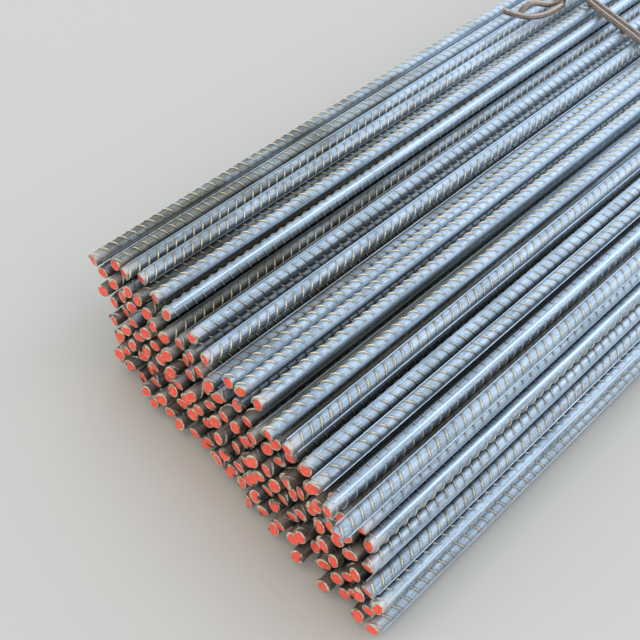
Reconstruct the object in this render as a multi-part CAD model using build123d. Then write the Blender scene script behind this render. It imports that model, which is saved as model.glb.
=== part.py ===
"""A tied bundle of ribbed reinforcing bar, lying on a level floor.

The bars are 12 mm stock, 6 m long, and lie along X. The painted ends are at -X, +Y is across
the bundle and +Z is up. Each bar is its own solid of the nominal size. Rows of bars share a
node. Three ties of annealed wire rod, each wound twice round the bars with its two ends twisted
together on top, hold the bundle. The origin is on the floor, below the middle.
"""
import os
from math import atan2, ceil, cos, pi, radians, sin, sqrt
from random import Random

from build123d import *

# the bars
bar_diameter = 12.0
bar_length = 6000.0
bar_sides = 16  # round stock is drawn with flats that hold the area of the circle
rib_standoff = 0.8  # the ribs keep the round cores of two touching bars this far apart
pitch = bar_diameter + rib_standoff

# the section of the bundle: how far apart the bars of the lowest row lie, in pitches, from left
# to right as seen from the painted ends; the higher rows lie in the valleys that this leaves
row_spread = [
    1.10, 1.30, 1.06, 1.42, 1.18, 1.04, 1.34, 1.24, 1.05, 1.38, 1.12, 1.28, 1.06, 1.20, 1.44,
    1.08, 1.26, 1.10, 1.36, 1.05, 1.22, 1.32, 1.08, 1.16, 1.40, 1.10, 1.20, 1.12, 1.25, 1.10,
]
# the left side of the bundle overhangs and its right side leans in, so the rows are staggered
row_first_column = [5, 4, 4, 3, 2, 1, 0]
row_last_column = [26, 25, 25, 24, 23, 22, 21]
# the bars of the uneven top row, in pitches from its left edge, with the place of each painted
# end along X; the deep ones are laid before the ones that rest beside them
top_bars = [
    (0.0, 46.0), (1.25, 55.0), (2.30, 53.0), (3.60, 57.0), (5.65, 48.0), (7.15, 42.0),
    (9.95, 36.0), (11.65, 28.0), (14.03, 22.0), (15.08, 21.0), (16.45, 21.0), (18.55, 4.0),
    (20.00, 4.0), (21.60, 0.0), (22.75, -9.0), (24.30, -17.0), (25.75, -28.0),
]

# the painted ends aren't squared up: they run back towards the left and forward lower down
end_at_left = 52.0
end_skew = 0.18
end_lean = 0.18
end_scatter = (-7.0, 6.0)

# the ties
wire_diameter = 6.5
wire_sides = 10
largest_bend = 24.0  # degrees, of each mitre where the wire goes round a bar
wire_clearance = 0.5
tie_from_end = 620.0
tie_count = 3
tie_skews = [0.43, -0.12, 0.16]
wire_turns = 2
top_run_bars = 3  # the wire's corners that are more bars than this above its first are on its top
# the twisted ends of a tie are bent over along the bars
knot_from_left = 57.0
twist_turns = 1.0
twist_length = 38.0
twist_steps = 8
twist_rise = (13.0, 8.0)
# where the two ends leave the bars and rise to the twist, beside its line and above the bars, in
# wire diameters; the second one also passes over the first at a shoulder
foot_spread = 2.2
knee_spread = 1.2
first_knee_rise = 0.7
second_knee_rise = 1.0
shoulder_rise = 1.7
shoulder_spread = 5.5  # mm, because it stays between the strands of the twist
# the cut tails beyond the twist: forward, across and up from the end of each strand
first_tail = [(18.0, 2.0, -2.0), (36.0, 8.0, -1.5), (50.0, 19.0, 1.5), (60.0, 32.0, 7.0)]
second_tail = [(9.0, 4.0, 0.5), (20.0, 12.0, 4.5), (31.0, 16.0, 4.0), (40.0, 15.0, -1.0)]

bar_radius = bar_diameter / 2
wire_radius = wire_diameter / 2


def row_places(row):
    """Centres of one row: each bar touches two bars of the row under it."""
    places = []
    for column in range(row_first_column[row], row_last_column[row] + 1):
        under = row_spread[column:column + row]
        across = sum(row_spread[:column]) + sum(under) / 2
        rise = sum(sqrt(1 - (step / 2) ** 2) for step in under)
        places.append((-pitch * across, pitch * rise))
    return places


def laid_place(across, bars):
    """Centre of a bar that is laid down at a place across until it meets a bar."""
    heights = []
    for y, z in bars:
        offset = abs(y - across)
        if offset < pitch:
            heights.append(z + sqrt(pitch ** 2 - offset ** 2))
    return (across, max(heights, default=0.0))


def section():
    """Rows of (y, z) centres, the lowest row first, the laid top row last."""
    rows = [row_places(row) for row in range(len(row_first_column))]
    lying = [place for row in rows for place in row]
    left = rows[-1][0][0] + pitch / 2
    top = []
    for across, _ in top_bars:
        place = laid_place(left - across * pitch, lying)
        lying.append(place)
        top.append(place)
    return rows + [top]


def round_section(diameter, sides):
    """A polygon with the area of the round section that it stands for."""
    return RegularPolygon(diameter / 2 * sqrt(2 * pi / (sides * sin(2 * pi / sides))), sides)


def bar(place, end):
    """One bar, from its painted end along +X."""
    start = Plane(origin=(end, place[0], place[1]), x_dir=(0, 1, 0), z_dir=(1, 0, 0))
    return extrude(start * round_section(bar_diameter, bar_sides), bar_length).solid()


def outline(places):
    """The bars that a taut wire bears on, anticlockwise as seen from +X, from the lowest left."""
    points = sorted(set(places))
    lower = []
    for point in points:
        while len(lower) > 1 and turn(lower[-2], lower[-1], point) <= 0:
            lower.pop()
        lower.append(point)
    upper = []
    for point in reversed(points):
        while len(upper) > 1 and turn(upper[-2], upper[-1], point) <= 0:
            upper.pop()
        upper.append(point)
    return lower[:-1] + upper[:-1]


def turn(a, b, c):
    """Twice the signed area of a triangle."""
    return (b[0] - a[0]) * (c[1] - a[1]) - (b[1] - a[1]) * (c[0] - a[0])


def wire_corners(places, stand_off):
    """Corners of the wire's line, which bends round each bar of the outline in small mitres."""
    bars = outline(places)
    corners = []
    for index, (y, z) in enumerate(bars):
        before = bars[index - 1]
        after = bars[(index + 1) % len(bars)]
        came = atan2(z - before[1], y - before[0]) - pi / 2
        turned = (atan2(after[1] - z, after[0] - y) - pi / 2 - came) % (2 * pi)
        bends = ceil(turned / radians(largest_bend))
        half = turned / bends / 2
        for bend in range(bends):
            angle = came + (2 * bend + 1) * half
            reach = stand_off / cos(half)
            corners.append((y + reach * cos(angle), z + reach * sin(angle)))
    return corners


def strand(route, start_angle):
    """One strand of the twist, from its root to its last step."""
    points = []
    reach = (wire_radius + wire_clearance) / cos(pi * twist_turns / twist_steps)
    for step in range(twist_steps + 1):
        share = step / twist_steps
        angle = start_angle - 2 * pi * twist_turns * share
        height = twist_rise[0] + (twist_rise[1] - twist_rise[0]) * share
        points.append((
            route[0] - twist_length * share,
            route[1] + reach * cos(angle),
            route[2] + height + reach * sin(angle),
        ))
    return points


def tail(end, steps):
    """The cut end of a strand, bent away from the twist."""
    return [(end[0] - forward, end[1] + across, end[2] + up) for forward, across, up in steps]


def tie_route(places, place, skew):
    """Corners of one tie's wire, from its one cut end to the other, twice round the bars."""
    stand_off = bar_radius + wire_clearance + wire_radius
    corners = wire_corners(places, stand_off)
    middle = (max(y for y, z in places) + min(y for y, z in places)) / 2
    knot = max(y for y, z in places) - knot_from_left
    top = sorted(corner for corner in corners if corner[1] > corners[0][1] + top_run_bars * bar_diameter)
    after = max(corner for corner in top if corner[0] < knot)
    before = min(corner for corner in top if corner[0] > knot)
    level = after[1] + (before[1] - after[1]) * (knot - after[0]) / (before[0] - after[0])
    first = corners.index(after)
    around = corners[first:] + corners[:first]
    lowest = min(corners, key=lambda corner: (round(corner[1], 3), corner[0]))
    step = (wire_diameter + wire_clearance) * sqrt(1 + skew ** 2)

    def along(y, turns):
        return place + skew * (y - middle) + turns * step

    loops = []
    for turns in range(wire_turns):
        passed = 0
        for corner in around:
            loops.append((along(corner[0], turns + passed), corner[0], corner[1]))
            if corner == lowest:
                passed = 1
    root = (along(knot, 0) - wire_diameter, knot, level)
    first_strand = strand(root, pi)
    second_strand = strand(root, 0.0)
    # the ends leave the bars on both sides of the turn between them, which passes under the twist
    far = foot_spread * wire_diameter
    near = knee_spread * wire_diameter
    first_foot = (along(knot - far, 0), knot - far, level)
    first_knee = (along(knot - near, 0), knot - near, level + first_knee_rise * wire_diameter)
    second_foot = (along(knot + far, wire_turns), knot + far, level)
    second_knee = (
        along(knot + near, wire_turns), knot + near, level + second_knee_rise * wire_diameter,
    )
    second_shoulder = (
        along(knot, wire_turns) - wire_diameter, knot + shoulder_spread,
        level + shoulder_rise * wire_diameter,
    )
    return (
        tail(first_strand[-1], first_tail)[::-1] + first_strand[::-1] + [first_knee, first_foot]
        + loops + [second_foot, second_knee, second_shoulder]
        + second_strand + tail(second_strand[-1], second_tail)
    )


def tie(places, place, skew):
    """One wire wound twice round the bars, its ends twisted together."""
    line = Polyline(*tie_route(places, place, skew))
    start = Plane(origin=line @ 0, z_dir=line % 0)
    wire = start * round_section(wire_diameter, wire_sides)
    return sweep(wire, path=line, transition=Transition.RIGHT).solid()


rows = section()
bars_by_row = []
chance = Random(12)
every_place = [place for row in rows for place in row]
left_edge = max(y for y, z in every_place)
top_level = max(z for y, z in every_place)
for row in rows[:-1]:
    solids = []
    for y, z in row:
        end = end_at_left - end_skew * (left_edge - y) - end_lean * (top_level - z)
        solids.append(bar((y, z), end + chance.uniform(*end_scatter)))
    bars_by_row.append(solids)
bars_by_row.append([bar(place, end) for place, (_, end) in zip(rows[-1], top_bars)])

pieces = {}
for number, solids in enumerate(bars_by_row, start=1):
    pieces[f"bars_row_{number}"] = solids
tie_spacing = (bar_length - 2 * tie_from_end) / (tie_count - 1)
for number in range(tie_count):
    place = tie_from_end + number * tie_spacing
    pieces[f"tie_{number + 1}"] = [tie(every_place, place, tie_skews[number % len(tie_skews)])]

# the origin goes to the floor below the middle of the bundle
box = Compound([solid for solids in pieces.values() for solid in solids]).bounding_box()
to_origin = Vector(-box.center().X, -box.center().Y, -box.min.Z)
os.makedirs("parts", exist_ok=True)
for name, solids in pieces.items():
    export_step(Compound([solid.translate(to_origin) for solid in solids]), f"parts/{name}.step")
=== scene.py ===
"""The look of a tied bundle of ribbed reinforcing bar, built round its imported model.

Lengths are in metres, in the model's own frame: +X runs along the bars, away from their painted
ends, +Y is across the bundle and +Z is up. The floor is at z = 0.
"""

import math
import random

import bmesh
import bpy
from mathutils import Matrix, Vector


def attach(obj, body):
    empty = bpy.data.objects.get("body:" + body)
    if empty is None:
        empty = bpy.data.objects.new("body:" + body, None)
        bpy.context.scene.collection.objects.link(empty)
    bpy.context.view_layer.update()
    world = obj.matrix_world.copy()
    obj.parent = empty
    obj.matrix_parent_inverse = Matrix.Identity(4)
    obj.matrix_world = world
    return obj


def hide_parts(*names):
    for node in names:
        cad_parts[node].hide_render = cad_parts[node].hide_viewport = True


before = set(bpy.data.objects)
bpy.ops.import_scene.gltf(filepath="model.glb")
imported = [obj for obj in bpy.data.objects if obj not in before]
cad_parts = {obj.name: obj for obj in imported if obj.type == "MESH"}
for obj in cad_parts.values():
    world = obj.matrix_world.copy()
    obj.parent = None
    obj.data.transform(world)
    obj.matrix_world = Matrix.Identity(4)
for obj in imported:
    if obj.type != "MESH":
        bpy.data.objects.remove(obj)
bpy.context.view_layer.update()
bpy.ops.object.select_all(action="DESELECT")

# Where the bars lie
# The solids of a row give the line of each of its bars: the painted end, the far end, and the
# place of the axis across and up.


def bar_lines(node):
    """(start x, end x, y, z) of each bar of a row, from the left as seen from the painted ends."""
    shell = bmesh.new()
    shell.from_mesh(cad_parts[node].data)
    bmesh.ops.remove_doubles(shell, verts=shell.verts, dist=0.00001)
    left = set(shell.verts)
    lines = []
    while left:
        bar = [left.pop()]
        for vertex in bar:
            for edge in vertex.link_edges:
                neighbour = edge.other_vert(vertex)
                if neighbour in left:
                    left.remove(neighbour)
                    bar.append(neighbour)
        along = [vertex.co.x for vertex in bar]
        y = sum(vertex.co.y for vertex in bar) / len(bar)
        z = sum(vertex.co.z for vertex in bar) / len(bar)
        lines.append((min(along), max(along), y, z))
    shell.free()
    return sorted(lines, key=lambda line: -line[2])


top_row = 8
row_nodes = [f"bars_row_{number}" for number in range(1, top_row + 1)]
rows = [bar_lines(node) for node in row_nodes]

# The bars
# 12 mm hot-rolled bar: a round core, two ribs along it and two rows of slanted crescent ribs,
# all rolled in one pass. Each bar is sheared to length, which squeezes and tilts its end face.
core_radius = 0.0056
core_sides = 20
smooth_up_to = math.radians(32)
seam_width = 0.0014
seam_radius = 0.0062
# the crescent ribs, the first of them a part of a pitch from the painted end
rib_pitch = 0.0100
rib_phase = 0.45
rib_base = 0.0031
rib_root_radius = 0.0051
crest_radius = 0.0067
rib_half_reach = math.radians(74)
rib_slant = math.radians(30)
rib_steps = 6
few_rib_steps = 4
# how far from the painted end ribs are shaped, on bars that show and on bars that others cover,
# and how many are shaped at the far end
shaped_length = 0.90
stub_length = 0.07
far_ribs = 6
# the sheared ends: what the shear bent, its rim, and the room left to the end of the solid
end_normal = 0.9
end_depth = 0.007
rim_bevel = 0.0004
crown_inset = 0.0011
face_margin = 1.05
end_clearance = 0.0003
# how each kind of end was sheared: tilt and second tilt in degrees, squeeze, crown in metres
sheared_ends = [
    (7.0, 3.0, 0.95, 0.0001),
    (-9.0, 5.0, 0.92, 0.0002),
    (12.0, -4.0, 0.96, 0.0001),
    (-4.0, -8.0, 0.93, 0.0002),
    (14.0, 2.0, 0.90, 0.0001),
    (3.0, 11.0, 0.97, 0.0002),
]
# for each bar of the top row: how far its crescent ribs are rolled to the left of the side that
# the picture shows, in degrees, which way they slant, and how brown its scale is; the browner
# scale of the first bars on the left is partly painted shade
top_bars = [
    (30, 1, 0.80), (8, 1, 0.80), (-35, -1, 0.60), (-20, -1, 0.45), (40, 1, 0.40), (100, 1, 0.25),
    (-30, 1, 0.20), (-35, -1, 0.20), (52, 1, 0.35), (55, 1, 0.25), (58, 1, 0.25), (50, 1, 0.30),
    (10, -1, 0.25), (-18, 1, 0.15), (15, 1, 0.20), (-73, -1, 0.10), (15, -1, 0.10),
]
# the same for the last bar of each row under it, from the top down
right_bars = [
    (40, -1, 0.20), (-76, -1, 0.15), (42, -1, 0.15), (10, -1, 0.10), (85, 1, 0.15), (-40, 1, 0.10),
    (0, 1, 0.10),
]
left_top_bars = 9  # whose ribs are a piece of their own, apart from those of the other top bars
seen_side = math.radians(35.8)  # from straight up towards -Y
seen_cosine = -0.35  # of the widest angle from the seen side at which ribs are shaped all along
bar_length = rows[0][0][1] - rows[0][0][0]
to_lower_row = Matrix.Translation((rib_pitch / 2, 0, 0)) @ Matrix.Rotation(math.pi, 4, "X")
# how brown the bars are that others cover, partly as painted shade, and how much painted
# shade darkens them and the row under the top one
covered_brownness = (0.35, 1.0)
covered_painted_shade = (0.4, 0.75)
second_row_painted_shade = (0.15, 0.60)


def placed(source, place):
    """A copy of an object with its own mesh, moved in the mesh."""
    copy = source.copy()
    copy.data = source.data.copy()
    copy.data.transform(place)
    bpy.context.collection.objects.link(copy)
    return copy


def joined(parts):
    """One object from several."""
    bpy.ops.object.select_all(action="DESELECT")
    for part in parts:
        part.select_set(True)
    bpy.context.view_layer.objects.active = parts[0]
    bpy.ops.object.join()
    whole = bpy.context.view_layer.objects.active
    whole.select_set(False)
    return whole


def settled(name):
    """The active object, with its place moved into its mesh."""
    made = bpy.context.active_object
    made.name = name
    bpy.ops.object.transform_apply(location=True, rotation=True, scale=True)
    made.select_set(False)
    return made


def edited(piece):
    """Opens a piece for editing, with all of it selected."""
    bpy.context.view_layer.objects.active = piece
    bpy.ops.object.mode_set(mode="EDIT")
    bpy.ops.mesh.select_all(action="SELECT")


class Socket:
    """An output of a material's nodes, on which Python's sums add Math nodes."""

    def __init__(self, socket):
        self.socket = socket

    def node(self, kind, settings, inputs, output=0):
        """A new node in the same material, as one of its outputs."""
        tree = self.socket.id_data
        made = tree.nodes.new(kind)
        for name, setting in settings.items():
            setattr(made, name, setting)
        for name, value in inputs.items():
            if isinstance(value, Socket):
                tree.links.new(value.socket, made.inputs[name])
            else:
                made.inputs[name].default_value = value
        return Socket(made.outputs[output])

    def math(self, operation, *others):
        """A Math node on this value and others."""
        numbers = dict(enumerate((self, *others)))
        return self.node("ShaderNodeMath", {"operation": operation}, numbers)

    def __add__(self, other):
        return self.math("ADD", other)

    def __sub__(self, other):
        return self.math("SUBTRACT", other)

    def __rsub__(self, other):
        return self.node("ShaderNodeMath", {"operation": "SUBTRACT"}, {0: other, 1: self})

    def __mul__(self, other):
        return self.math("MULTIPLY", other)

    def __truediv__(self, other):
        return self.math("DIVIDE", other)

    __radd__ = __add__
    __rmul__ = __mul__

    def rising(self, low, high):
        """0 up to a low value, 1 from a high one, and smooth between them."""
        limits = {"Value": self, "From Min": low, "From Max": high}
        return self.node("ShaderNodeMapRange", {"interpolation_type": "SMOOTHSTEP"}, limits)

    def parts(self):
        """The three parts of a vector."""
        first = self.node("ShaderNodeSeparateXYZ", {}, {0: self})
        return [Socket(output) for output in first.socket.node.outputs]

    def spots(self, size, detail=3.0, stretch=(1, 1, 1)):
        """Noise on the object's coordinates, its spots as large as is said."""
        scale = tuple(1 / (size * part) for part in stretch)
        grid = self.node("ShaderNodeVectorMath", {"operation": "MULTIPLY"}, {0: self, 1: scale})
        return grid.node("ShaderNodeTexNoise", {}, {"Vector": grid, "Scale": 1, "Detail": detail})


def new_finish(name):
    """A new material, its shader, and the object's coordinates in it."""
    material = bpy.data.materials.new(name)
    material.use_nodes = True
    nodes = material.node_tree.nodes
    return material, nodes["Principled BSDF"], Socket(nodes.new("ShaderNodeTexCoord").outputs["Object"])


def blended(share, low, high):
    """A colour between two."""
    return share.node("ShaderNodeMix", {"data_type": "RGBA"}, {0: share, 6: low, 7: high}, 2)


def feed(shader, name, value):
    """Links a value to one of a shader's sockets."""
    shader.id_data.links.new(value.socket, shader.inputs[name])


# the steel's relief: how far ribs rise and the painted shade at their feet reaches from the crest
# line, and from which distance from the axis the scale is worn off and the crests get a painted
# highlight
emboss_fade = 0.004
crest_half_width = (0.0002, 0.0012)
shaded_foot_half_width = (0.0014, 0.0028)
worn_and_highlit_radius = (0.0059, 0.0062)
# from which share of its distance from the axis a point is off the line of the seams, where the
# crescent ribs run out
seam_flank = (0.16, 0.24)
rib_run_out = (0.34, 0.62)
grain_height = 0.00006
streak_height = 0.00005
torn_height = 0.0002

steel, shader, place = new_finish("bar_steel")
# where on its bar a point lies: along it, round it, and how far from its axis
axis = place.node("ShaderNodeAttribute", {"attribute_name": "bar_axis"}, {}, "Vector")
rolled = place.node("ShaderNodeAttribute", {"attribute_name": "bar_rolled"}, {}, "Vector")
looks = place.node("ShaderNodeAttribute", {"attribute_name": "bar_looks"}, {}, "Vector")
from_axis = place.node("ShaderNodeVectorMath", {"operation": "SUBTRACT"}, {0: place, 1: axis})
along, across, up = from_axis.parts()
roll, slant_slope, shaped_over = rolled.parts()
bar_brown, bar_painted_shade, shaped_under = looks.parts()
reach = (across * across + up * up).math("SQRT")
side = across * roll.math("COSINE") + up * roll.math("SINE")
face = up * roll.math("COSINE") - across * roll.math("SINE")
lower_row = (face * -1).math("GREATER_THAN", 0.0)
# between the shaped ribs, ribs of the same pitch, slant and roll are embossed
shaped = shaped_over + (shaped_under - shaped_over) * lower_row
turned = side * slant_slope * (1 - 2 * lower_row)
step = (along + turned) / rib_pitch - rib_phase - 0.5 * lower_row
from_crest = ((step + 0.5).math("FRACT") - 0.5).math("ABSOLUTE") * rib_pitch
off_seam = face.math("ABSOLUTE") / reach
crescent = off_seam.rising(*rib_run_out)
far_stub = bar_length - stub_length
stretch = (along - shaped).rising(0.0, emboss_fade) - along.rising(far_stub, far_stub + emboss_fade)
embossed = (1 - from_crest.rising(*crest_half_width)) * crescent * stretch.math("MAXIMUM", 0.0)
worn_and_highlit = reach.rising(*worn_and_highlit_radius).math("MAXIMUM", embossed.rising(0.35, 0.75))
on_seam = 1 - off_seam.rising(*seam_flank)
# mill scale: blue grey, streaked along the bar, browner on some bars; lighter and bluer far
# from the ends as a painted sky reflection, and browner near them as painted shade
grain = place.spots(0.0016, 4.0)
streaks = place.spots(0.0030, 3.0, (14, 1, 1))
patches = place.spots(0.018, 3.0, (3, 1, 1))
shade = (0.55 * streaks + 0.45 * grain).rising(0.30, 0.72)
blue = blended(shade, (0.260, 0.320, 0.380, 1), (0.580, 0.680, 0.785, 1))
# painted sky reflection: the scale lighter and bluer far from the ends
far = along.rising(0.10, 0.70)
blue = blended(far * 0.6, blue, (0.640, 0.760, 0.900, 1))
brown = blended(shade, (0.085, 0.083, 0.062, 1), (0.280, 0.280, 0.235, 1))
# painted shade: brown scale weighs more near the ends
shaded_near_ends = 1 - along.rising(0.03, 0.55)
browned = (bar_brown * (0.45 + 0.55 * shaded_near_ends) + (patches - 0.5) * 0.9).rising(0.25, 0.95)
scale = blended(browned, blue, brown)
# thin dark streaks, painted shade at the feet of the ribs, and bright steel on their worn
# crests with a painted highlight, golden on the crescents and pale blue on the seams
scratches = place.spots(0.0013, 3.0, (30, 1, 1)).rising(0.54, 0.68) * patches.rising(0.35, 0.60)
scale = blended(scratches * 0.45, scale, (0.120, 0.115, 0.110, 1))
# painted shade in the creases at the feet of the ribs, weaker far from the ends
rib_foot_shade = (1 - from_crest.rising(*shaded_foot_half_width)) * crescent * (1 - worn_and_highlit)
scale = blended(rib_foot_shade * (0.35 - 0.28 * far), scale, (0.110, 0.095, 0.080, 1))
# painted highlight on the worn crests: golden on the crescent ribs, pale blue on the seams
crest_highlight = blended(on_seam, (0.940, 0.830, 0.600, 1), (0.600, 0.690, 0.780, 1))
scale = blended(worn_and_highlit * 0.8, scale, crest_highlight)
# bare patches by the painted ends, specks of rust, and painted shade on the bars that others
# cover
near_end = 1 - (along + (patches - 0.5) * 0.03).rising(0.004, 0.024)
scale = blended(near_end * patches.rising(0.35, 0.6) * 0.75, scale, (0.700, 0.640, 0.610, 1))
rust = place.spots(0.0045, 5.0).rising(0.675, 0.72) * place.spots(0.05).rising(0.45, 0.60)
scale = blended(rust * 0.8, scale, (0.340, 0.120, 0.040, 1))
# painted shade on the bars that others cover, less away from the painted ends
painted_shade = bar_painted_shade * (1 - 0.6 * along.rising(0.05, 0.60)) * (1 - 0.25 * near_end)
scale = blended(painted_shade, scale, (0.024, 0.021, 0.013, 1))
feed(shader, "Base Color", scale)
feed(shader, "Metallic", 0.88 - 0.75 * rust)
feed(shader, "Roughness", 0.36 + 0.20 * grain + 0.12 * browned + 0.3 * rust + 0.10 * far - 0.10 * worn_and_highlit)
relief = embossed * (crest_radius - core_radius) + grain * grain_height + streaks * streak_height
bump = relief.node("ShaderNodeBump", {}, {"Height": relief, "Distance": 1.0, "Strength": 1.0})
feed(shader, "Normal", bump)

# bare sheared steel, torn and partly dirty
cut_steel, shader, place = new_finish("cut_steel")
torn = place.spots(0.0012, 4.0)
dirty = place.spots(0.0060, 3.0)
bare = blended(torn.rising(0.30, 0.70), (0.430, 0.365, 0.260, 1), (0.900, 0.840, 0.690, 1))
feed(shader, "Base Color", blended(dirty.rising(0.5, 0.66) * 0.7, bare, (0.120, 0.085, 0.045, 1)))
feed(shader, "Roughness", 0.34 + 0.30 * torn)
shader.inputs["Metallic"].default_value = 0.5
bump = torn.node("ShaderNodeBump", {}, {"Height": torn * torn_height, "Distance": 1.0})
feed(shader, "Normal", bump)


def crescent_rib(slant, steps):
    """A ridge spun part of the way round the core and slanted, so that its ends run out in it."""
    height = crest_radius - rib_root_radius
    bpy.ops.mesh.primitive_circle_add(
        vertices=3, radius=1, fill_type="NGON", rotation=(math.pi / 2, 0, 0),
    )
    rib = settled("crescent_rib")
    rib.data.materials.append(steel)
    edited(rib)
    profile = (rib_base / math.sqrt(3), 1, height / 1.5)
    bpy.ops.transform.resize(value=profile, center_override=(0, 0, 0))
    bpy.ops.transform.translate(value=(0, 0, rib_root_radius + height / 3))
    bpy.ops.mesh.spin(steps=steps, angle=2 * rib_half_reach, center=(0, 0, 0), axis=(1, 0, 0))
    bpy.ops.mesh.select_all(action="SELECT")
    bpy.ops.mesh.remove_doubles(threshold=1e-6)
    bpy.ops.mesh.normals_make_consistent(inside=False)
    bpy.ops.object.mode_set(mode="OBJECT")
    lean = sum(vertex.co.y for vertex in rib.data.vertices)
    rib.data.transform(Matrix.Rotation(math.copysign(rib_half_reach, lean), 4, "X"))
    rib.data.transform(Matrix.Rotation(slant, 4, "Z"))
    return rib


def rib_row(slant, first, count, steps):
    """A row of crescent ribs, from the first of them along the bar."""
    row = crescent_rib(slant, steps)
    row.data.transform(Matrix.Translation(((first + rib_phase) * rib_pitch, 0, 0)))
    repeat = row.modifiers.new("repeat", "ARRAY")
    repeat.use_relative_offset = False
    repeat.use_constant_offset = True
    repeat.constant_offset_displace = (rib_pitch, 0, 0)
    repeat.count = count
    bpy.ops.object.modifier_apply(modifier="repeat")
    return row


def rib_rows(slant, first, count, steps):
    """The two rows of crescent ribs of a stretch of bar, half a pitch apart."""
    upper = rib_row(slant, first, count, steps)
    return joined([upper, placed(upper, to_lower_row)])


def setback(cut):
    """How far a sheared face leans out past its middle."""
    tilt, second_tilt, squeeze, crown = cut
    lean = math.sin(math.radians(abs(tilt))) + math.sin(math.radians(abs(second_tilt)))
    return core_radius * face_margin * lean + crown + end_clearance


def lean_as_cut(x, facing, cut):
    """Moves what is selected as the shear moved the end face: down, flatter and tilted."""
    tilt, second_tilt, squeeze, crown = cut
    bpy.ops.transform.translate(value=(-facing * setback(cut), 0, core_radius * (1 - squeeze) / 2))
    centre = (x - facing * setback(cut), 0, 0)
    bpy.ops.transform.resize(value=(1, 1 + (1 - squeeze) / 3, squeeze), center_override=centre)
    bpy.ops.transform.rotate(value=math.radians(tilt), orient_axis="Y", center_override=centre)
    bpy.ops.transform.rotate(value=math.radians(second_tilt), orient_axis="Z", center_override=centre)


def end_face(bar, facing):
    """Selects the face of one end of a bar, and makes it bare steel."""
    bpy.ops.mesh.select_all(action="DESELECT")
    bpy.ops.mesh.select_mode(type="FACE")
    mesh = bmesh.from_edit_mesh(bar.data)
    for face in mesh.faces:
        face.select = face.normal.x * facing > end_normal
    bmesh.update_edit_mesh(bar.data)
    bar.active_material_index = 1
    bpy.ops.object.material_slot_assign()


def sheared(bar, x, facing, cut):
    """Gives a bar's flat end the face of a sheared one: tilted, squeezed and a little crowned."""
    edited(bar)
    bpy.ops.mesh.bisect(plane_co=(x - facing * end_depth, 0, 0), plane_no=(1, 0, 0))
    end_face(bar, facing)
    lean_as_cut(x, facing, cut)
    bpy.ops.mesh.bevel(offset=rim_bevel, segments=1, affect="EDGES")
    bpy.ops.object.material_slot_assign()
    end_face(bar, facing)
    bpy.ops.mesh.inset(thickness=crown_inset)
    bpy.ops.transform.translate(value=(facing * cut[3], 0, 0))
    bpy.ops.mesh.poke()
    bpy.ops.object.mode_set(mode="OBJECT")


def bar_shape(length, slant, cuts, ribbed_length):
    """One bar from x = 0 to its length, with shaped ribs as far as they are wanted."""
    bpy.ops.mesh.primitive_cylinder_add(
        vertices=core_sides, radius=core_radius, depth=length, location=(length / 2, 0, 0),
        rotation=(0, math.pi / 2, 0),
    )
    core = settled("core")
    core.data.materials.append(steel)
    core.data.materials.append(cut_steel)
    sheared(core, 0, -1, cuts[0])
    sheared(core, length, 1, cuts[1])
    core.select_set(True)
    bpy.ops.object.shade_smooth_by_angle(angle=smooth_up_to)
    parts = [core]
    seam_height = 2 * (seam_radius - core_radius)
    for side in (-1, 1):
        centre = (length / 2, side * (seam_radius - seam_height / 2), 0)
        bpy.ops.mesh.primitive_cube_add(size=1, location=centre)
        seam = settled("seam")
        seam.data.materials.append(steel)
        edited(seam)
        bpy.ops.transform.resize(
            value=(length - 2 * end_depth, seam_height, seam_width), center_override=centre,
        )
        bpy.ops.object.mode_set(mode="OBJECT")
        parts.append(seam)
    steps = rib_steps if ribbed_length > stub_length else few_rib_steps
    parts.append(rib_rows(slant, 0, round(ribbed_length / rib_pitch), steps))
    parts.append(rib_rows(slant, round(length / rib_pitch) - far_ribs - 1, far_ribs, few_rib_steps))
    return joined(parts)


chance = random.Random(5)
shapes = {}
for kind, cut in enumerate(sheared_ends):
    far_cut = sheared_ends[(kind + 2) % len(sheared_ends)]
    slant_way = 1 if kind % 2 else -1
    for ribbed_length in (shaped_length, stub_length):
        shapes[kind, ribbed_length] = bar_shape(
            bar_length, slant_way * rib_slant, (cut, far_cut), ribbed_length,
        )

# the ribs between those of the two ends, for the rows of ribs that show all along
near_ribs = round(shaped_length / rib_pitch)
between = round(bar_length / rib_pitch) - far_ribs - 1 - near_ribs
long_rows = {way: rib_row(way * rib_slant, near_ribs, between, few_rib_steps) for way in (-1, 1)}


def note(piece, axis, rolled, looks):
    """Tells the steel of a piece which bar it belongs to and how that was rolled."""
    for name, value in [("bar_axis", axis), ("bar_rolled", rolled), ("bar_looks", looks)]:
        facts = piece.data.attributes.new(name, "FLOAT_VECTOR", "POINT")
        facts.data.foreach_set("vector", list(value) * len(piece.data.vertices))


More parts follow.
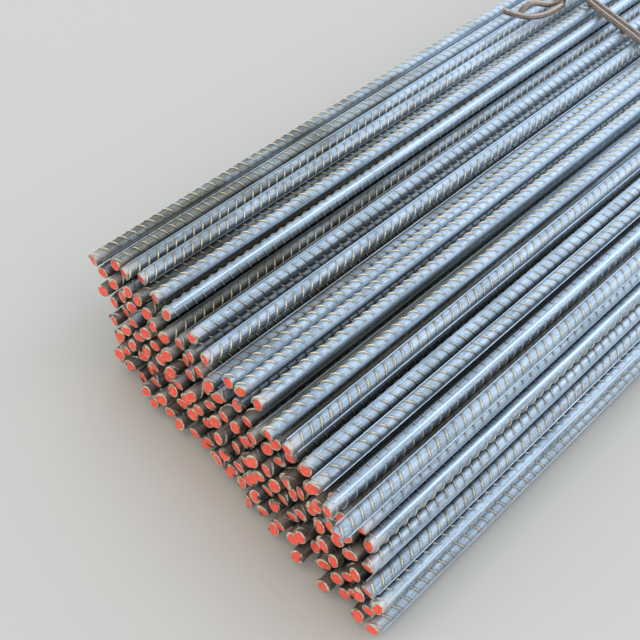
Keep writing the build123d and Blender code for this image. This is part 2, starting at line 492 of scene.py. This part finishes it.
ends = []
long_ribs = {"top_ribs_left": [], "top_ribs_right": [], "flank_ribs": []}
for number, (node, lines) in enumerate(zip(row_nodes, rows), start=1):
    bars = []
    for index, (start, end, y, z) in enumerate(lines):
        last = index == len(lines) - 1
        seen = number == top_row or last
        shown = number >= top_row - 1 or index == 0 or last
        ribbed_length = shaped_length if shown else stub_length
        # bars that others cover lie as chance has it, and those that show as in the picture
        kind = chance.randrange(len(sheared_ends))
        roll = chance.uniform(0, 2 * math.pi)
        brownness = chance.uniform(*covered_brownness)
        # how much painted shade darkens a covered bar
        painted_darkness = chance.uniform(*(second_row_painted_shade if number == top_row - 1 else covered_painted_shade))
        if seen:
            facts = top_bars[index] if number == top_row else right_bars[top_row - 1 - number]
            to_left, slant_way, brownness = facts
            painted_darkness = 0.0
            roll = seen_side - math.radians(to_left)
            kind = 2 * chance.randrange(len(sheared_ends) // 2) + (1 if slant_way > 0 else 0)
        slant_way = 1 if kind % 2 else -1
        where = Matrix.Translation((start, y, z)) @ Matrix.Rotation(roll, 4, "X")
        # a row of ribs on the seen side is shaped all along
        shaped_to = [ribbed_length, ribbed_length]
        added = []
        if seen:
            for rib_side, turn_over in enumerate((Matrix(), to_lower_row)):
                if math.cos(math.radians(to_left + 180 * rib_side)) > seen_cosine:
                    shaped_to[rib_side] = bar_length
                    added.append(placed(long_rows[slant_way], where @ turn_over))
            top_half = "top_ribs_left" if index < left_top_bars else "top_ribs_right"
            long_ribs[top_half if number == top_row else "flank_ribs"] += added
        bar = placed(shapes[kind, ribbed_length], where)
        slope = slant_way * math.tan(rib_slant)
        for piece in [bar, *added]:
            note(
                piece, (start, y, z), (roll, slope, shaped_to[0]),
                (brownness, painted_darkness, shaped_to[1]),
            )
        bars.append(bar)
        ends.append((kind, where))
    row = joined(bars)
    row.name = f"ribbed_bars_{number}"
    row.data.name = row.name
    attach(row, "root")
    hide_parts(node)
for name, ribs in long_ribs.items():
    piece = joined(ribs)
    piece.name = name
    piece.data.name = name
    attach(piece, "root")
for shape in [*shapes.values(), *long_rows.values()]:
    bpy.data.objects.remove(shape)

# The paint on the ends
# A dab of red marking paint on the near end face of each bar. It doesn't reach the rim all the
# way round, and on some bars it covers only a part of the face.
paint_radius = 0.0044
widest_paint = 0.0046
paint_depth = 0.0007
paint_stand = 0.00025  # how far the paint stands out of the face
paint_sides = 18
paint_height = 0.0001
dab_kinds = 4
dab_sizes = (0.95, 1.15)
dab_lobes = (0.04, 0.16)
dab_shift = 0.0002
# how far from its middle a dab ends on its bare side, in radii
dab_clips = (1, 1, 0.85, 0.5)
# the paint came from the upper right, so the dabs sit a little to that side
thrown = Matrix.Translation((0, -0.0003, 0.0003))

paint, shader, place = new_finish("end_paint")
thin = place.spots(0.0025, 4.0)
rough = place.spots(0.0009, 3.0)
coat = blended(thin.rising(0.35, 0.7), (0.900, 0.085, 0.055, 1), (1.000, 0.160, 0.110, 1))
feed(shader, "Base Color", coat)
feed(shader, "Roughness", 0.42 + 0.25 * rough)
bump = rough.node("ShaderNodeBump", {}, {"Height": rough * paint_height, "Distance": 1.0})
feed(shader, "Normal", bump)


def dab(cut, draws):
    """A dab of paint on an end that was sheared in a given way."""
    bpy.ops.mesh.primitive_cylinder_add(
        vertices=paint_sides, radius=paint_radius, depth=paint_depth,
        location=(paint_depth / 2 - paint_stand - cut[3], 0, 0), rotation=(0, math.pi / 2, 0),
    )
    made = settled("dab")
    made.data.materials.append(paint)
    lobes = [(draws.uniform(*dab_lobes) / lobe, draws.uniform(0, 2 * math.pi)) for lobe in (1, 2, 3)]
    size = draws.uniform(*dab_sizes)
    shift = (draws.uniform(-dab_shift, dab_shift), draws.uniform(-dab_shift, dab_shift))
    clip = draws.choice(dab_clips)
    clip_angle = draws.uniform(0, 2 * math.pi)
    for vertex in made.data.vertices:
        angle = math.atan2(vertex.co.z, vertex.co.y)
        wave = 0
        for number, (high, start) in enumerate(lobes, start=1):
            wave += high * math.cos(number * angle + start)
        grown = min(size * (1 + wave), widest_paint / paint_radius)
        toward = math.cos(angle - clip_angle)
        if toward * grown > clip:
            grown = clip / toward
        vertex.co.y = vertex.co.y * grown + shift[0]
        vertex.co.z = vertex.co.z * grown + shift[1]
    edited(made)
    lean_as_cut(0, -1, cut)
    bpy.ops.object.mode_set(mode="OBJECT")
    return made


paint_chance = random.Random(8)
dabs = {}
for kind, cut in enumerate(sheared_ends):
    for number in range(dab_kinds):
        dabs[kind, number] = dab(cut, paint_chance)
painted = []
for kind, where in ends:
    painted.append(placed(dabs[kind, paint_chance.randrange(dab_kinds)], thrown @ where))
for shape in dabs.values():
    bpy.data.objects.remove(shape)
dabs_piece = joined(painted)
dabs_piece.name = "paint_on_ends"
dabs_piece.data.name = dabs_piece.name
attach(dabs_piece, "root")

# The ties
# 6.5 mm wire rod, wound twice round the bars by a machine that pulls it taut and twists its two
# ends together on top. The twist is bent over along the bars.
wire_radius = 0.00325
wire_clearance = 0.0005
bar_radius = 0.006
largest_bend = math.radians(24)
wire_smooth_up_to = math.radians(40)
wire_turns = 2
tie_from_end = 0.620
tie_skews = (0.43, -0.12, 0.16)
knot_from_left = 0.057
twist_turns = 1.0
twist_length = 0.038
twist_steps = 8
twist_rise = (0.013, 0.008)
top_run_rise = 0.036  # corners of the wire this far above its first one are on its top run
# where the two ends leave the bars and rise to the twist, beside its line and above the bars, in
# wire diameters; the second one also passes over the first at a shoulder
foot_spread = 2.2
knee_spread = 1.2
first_knee_rise = 0.7
second_knee_rise = 1.0
shoulder_rise = 1.7
shoulder_spread = 0.0055  # in metres, because it stays between the strands of the twist
# the cut tails beyond the twist: forward, across and up from the end of each strand
first_tail = [
    (0.018, 0.002, -0.002), (0.036, 0.008, -0.0015), (0.050, 0.019, 0.0015), (0.060, 0.032, 0.007),
]
second_tail = [
    (0.009, 0.004, 0.0005), (0.020, 0.012, 0.0045), (0.031, 0.016, 0.004), (0.040, 0.015, -0.001),
]
scale_height = 0.00003

# annealed wire: brown scale with a slight shine, and redder patches
wire_steel, shader, place = new_finish("tie_wire")
grain = place.spots(0.0012, 4.0)
patches = place.spots(0.009, 3.0)
oxide = blended(grain.rising(0.3, 0.7), (0.215, 0.175, 0.155, 1), (0.480, 0.395, 0.340, 1))
oxide = blended(patches.rising(0.52, 0.70) * 0.35, oxide, (0.480, 0.290, 0.175, 1))
feed(shader, "Base Color", oxide)
feed(shader, "Metallic", 0.85 - 0.4 * patches.rising(0.52, 0.70))
feed(shader, "Roughness", 0.24 + 0.15 * grain)
bump = grain.node("ShaderNodeBump", {}, {"Height": grain * scale_height, "Distance": 1.0})
feed(shader, "Normal", bump)


def turn(a, b, c):
    """Twice the signed area of a triangle."""
    return (b[0] - a[0]) * (c[1] - a[1]) - (b[1] - a[1]) * (c[0] - a[0])


def outline(places):
    """The bars that a taut wire bears on, anticlockwise as seen from +X, from the lowest left."""
    chains = []
    for points in (sorted(places), sorted(places, reverse=True)):
        chain = []
        for point in points:
            while len(chain) > 1 and turn(chain[-2], chain[-1], point) <= 0:
                chain.pop()
            chain.append(point)
        chains.append(chain)
    return chains[0][:-1] + chains[1][:-1]


def wire_corners(places, stand_off):
    """Corners of the wire's line round the bars of the outline."""
    bars = outline(places)
    corners = []
    for index, (y, z) in enumerate(bars):
        before = bars[index - 1]
        after = bars[(index + 1) % len(bars)]
        came = math.atan2(z - before[1], y - before[0]) - math.pi / 2
        turned = (math.atan2(after[1] - z, after[0] - y) - math.pi / 2 - came) % (2 * math.pi)
        bends = math.ceil(turned / largest_bend)
        half = turned / bends / 2
        for bend in range(bends):
            angle = came + (2 * bend + 1) * half
            reach = stand_off / math.cos(half)
            corners.append((y + reach * math.cos(angle), z + reach * math.sin(angle)))
    return corners


def strand(root, start_angle):
    """One strand of the twist, from its root to its last step."""
    reach = (wire_radius + wire_clearance) / math.cos(math.pi * twist_turns / twist_steps)
    points = []
    for step in range(twist_steps + 1):
        share = step / twist_steps
        angle = start_angle - 2 * math.pi * twist_turns * share
        height = twist_rise[0] + (twist_rise[1] - twist_rise[0]) * share
        points.append((
            root[0] - twist_length * share,
            root[1] + reach * math.cos(angle),
            root[2] + height + reach * math.sin(angle),
        ))
    return points


def tail(end, steps):
    """The cut end of a strand, bent away from the twist."""
    return [(end[0] - forward, end[1] + across, end[2] + up) for forward, across, up in steps]


def tie_route(places, at, skew):
    """The line of one tie's wire, from its one cut end to the other."""
    wire = 2 * wire_radius
    corners = wire_corners(places, bar_radius + wire_clearance + wire_radius)
    middle = (max(y for y, z in places) + min(y for y, z in places)) / 2
    knot = max(y for y, z in places) - knot_from_left
    top = sorted(corner for corner in corners if corner[1] > corners[0][1] + top_run_rise)
    after = max(corner for corner in top if corner[0] < knot)
    before = min(corner for corner in top if corner[0] > knot)
    level = after[1] + (before[1] - after[1]) * (knot - after[0]) / (before[0] - after[0])
    first = corners.index(after)
    around = corners[first:] + corners[:first]
    lowest = min(corners, key=lambda corner: (round(corner[1], 6), corner[0]))
    step = (wire + wire_clearance) * math.sqrt(1 + skew ** 2)

    def along(y, turns):
        return at + skew * (y - middle) + turns * step

    loops = []
    for turns in range(wire_turns):
        passed = 0
        for corner in around:
            loops.append((along(corner[0], turns + passed), corner[0], corner[1]))
            if corner == lowest:
                passed = 1
    root = (along(knot, 0) - wire, knot, level)
    first_strand = strand(root, math.pi)
    second_strand = strand(root, 0.0)
    # the ends leave the bars on both sides of the turn between them, which passes under the twist
    near, far = knee_spread * wire, foot_spread * wire
    first_foot = (along(knot - far, 0), knot - far, level)
    first_knee = (along(knot - near, 0), knot - near, level + first_knee_rise * wire)
    second_foot = (along(knot + far, wire_turns), knot + far, level)
    second_knee = (along(knot + near, wire_turns), knot + near, level + second_knee_rise * wire)
    shoulder = along(knot, wire_turns) - wire
    second_shoulder = (shoulder, knot + shoulder_spread, level + shoulder_rise * wire)
    return (
        tail(first_strand[-1], first_tail)[::-1] + first_strand[::-1] + [first_knee, first_foot]
        + loops + [second_foot, second_knee, second_shoulder]
        + second_strand + tail(second_strand[-1], second_tail)
    )


bar_places = [(y, z) for lines in rows for start, end, y, z in lines]
# the top bar whose painted end the ties and the camera are measured from
measured_bar = 13
measured_end = rows[-1][measured_bar][0]
tie_spacing = (bar_length - 2 * tie_from_end) / (len(tie_skews) - 1)
for number, skew in enumerate(tie_skews):
    route = tie_route(bar_places, measured_end + tie_from_end + number * tie_spacing, skew)
    line = bpy.data.curves.new(f"wire_tie_{number + 1}", "CURVE")
    line.dimensions = "3D"
    line.bevel_depth = wire_radius
    line.bevel_resolution = 2
    line.resolution_u = 4
    line.use_fill_caps = True
    spline = line.splines.new("NURBS")
    spline.points.add(len(route) - 1)
    for point, corner in zip(spline.points, route):
        point.co = (*corner, 1)
    spline.order_u = 3
    spline.use_endpoint_u = True
    wire = bpy.data.objects.new(f"wire_tie_{number + 1}", line)
    bpy.context.collection.objects.link(wire)
    wire.select_set(True)
    bpy.context.view_layer.objects.active = wire
    bpy.ops.object.convert(target="MESH")
    bpy.ops.object.shade_smooth_by_angle(angle=wire_smooth_up_to)
    wire.select_set(False)
    wire.data.materials.clear()
    wire.data.materials.append(wire_steel)
    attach(wire, "root")
    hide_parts(f"tie_{number + 1}")

# The stage
# A plain pale floor, in soft light.
floor_size = 60
bpy.ops.mesh.primitive_plane_add(size=floor_size, location=(0, 0, 0))
floor = settled("floor")
floor_paint, shader, place = new_finish("pale_floor")
shader.inputs["Base Color"].default_value = (0.62, 0.61, 0.59, 1)
shader.inputs["Roughness"].default_value = 0.9
floor.data.materials.append(floor_paint)

# the camera stands where the picture was taken, looking down along the bars from the painted end
picture_size = 640  # in pixels, as is the focal length
focal_length = 1200
sensor_width = 36
# its place, in spacings of the top bars, from the corner of the top row by the painted ends
spacing = 0.0124
corner_across = 22.2
from_corner = Vector((-30.855, -29.216, 50.621))
looks_along = Vector((0.54369, 0.49144, -0.68036))
top_level = sum(line[3] for line in rows[-1]) / len(rows[-1])
corner = Vector((measured_end, rows[-1][0][2] - corner_across * spacing, top_level))
bpy.ops.object.camera_add(location=corner + spacing * from_corner)
camera = bpy.context.active_object
camera.rotation_mode = "QUATERNION"
camera.rotation_quaternion = looks_along.to_track_quat("-Z", "Y")
camera.data.sensor_width = sensor_width
camera.data.lens = sensor_width * focal_length / picture_size
bpy.context.scene.camera = camera

# soft lamps: direction from which the light comes, strength, spread in degrees, colour
for comes_from, strength, spread, colour in [
    ((0.55, -0.76, 0.34), 1.5, 100, (0.89, 0.95, 1.0)),
    ((0.80, 0.20, 0.45), 1.8, 85, (0.78, 0.89, 1.0)),
    ((-0.80, 0.05, 0.60), 1.8, 100, (1.0, 0.89, 0.72)),
]:
    bpy.ops.object.light_add(type="SUN", location=(0, 0, 3))
    lamp = bpy.context.active_object
    lamp.data.energy = strength
    lamp.data.angle = math.radians(spread)
    lamp.data.color = colour
    lamp.rotation_mode = "QUATERNION"
    lamp.rotation_quaternion = (-Vector(comes_from)).to_track_quat("-Z", "Y")
world = bpy.data.worlds.new("studio")
bpy.context.scene.world = world
world.use_nodes = True
world.node_tree.nodes["Background"].inputs["Color"].default_value = (0.80, 0.90, 1.0, 1)
world.node_tree.nodes["Background"].inputs["Strength"].default_value = 0.38
bpy.context.scene.view_settings.view_transform = "Standard"
